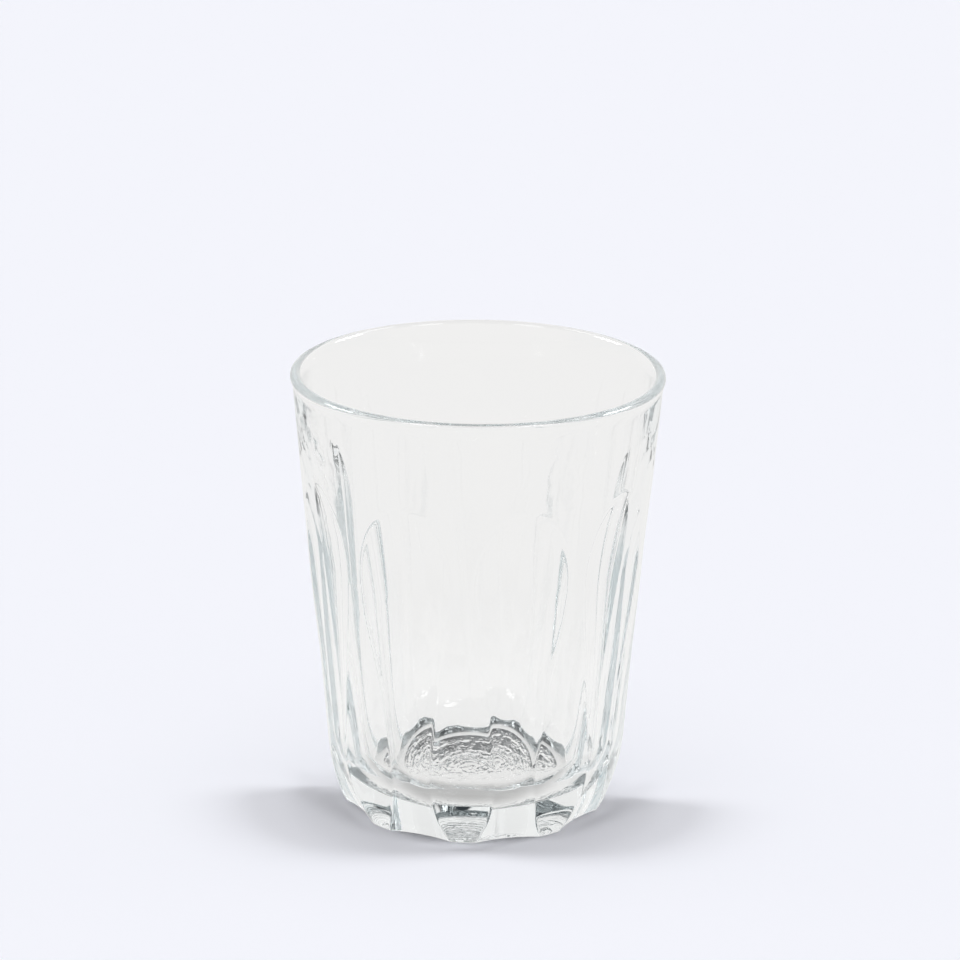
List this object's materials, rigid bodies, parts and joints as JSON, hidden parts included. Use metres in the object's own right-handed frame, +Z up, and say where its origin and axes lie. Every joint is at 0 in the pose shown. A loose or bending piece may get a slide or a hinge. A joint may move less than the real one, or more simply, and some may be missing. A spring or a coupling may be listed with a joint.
{
  "type": "juice glass",
  "caption": "Small clear pressed-glass tumbler with arched flutes between ribs, a plain band under a rounded rim and a thick scalloped base.",
  "frame": {"origin": "on the table plane, at the middle of the ring that the glass stands on", "axes": "+Z up along the glass axis towards the rim, -Y towards the rib nearest the viewer, +X to the viewer's right"},
  "size_m": [0.074, 0.074, 0.09],
  "materials": {
    "glass": "clear soda-lime glass, fire-polished, smooth, very faint grey-green tint"
  },
  "bodies": {
    "root": {"rim": "glass", "wall": "glass", "heel": "glass", "base": "glass"}
  },
  "joints": []
}
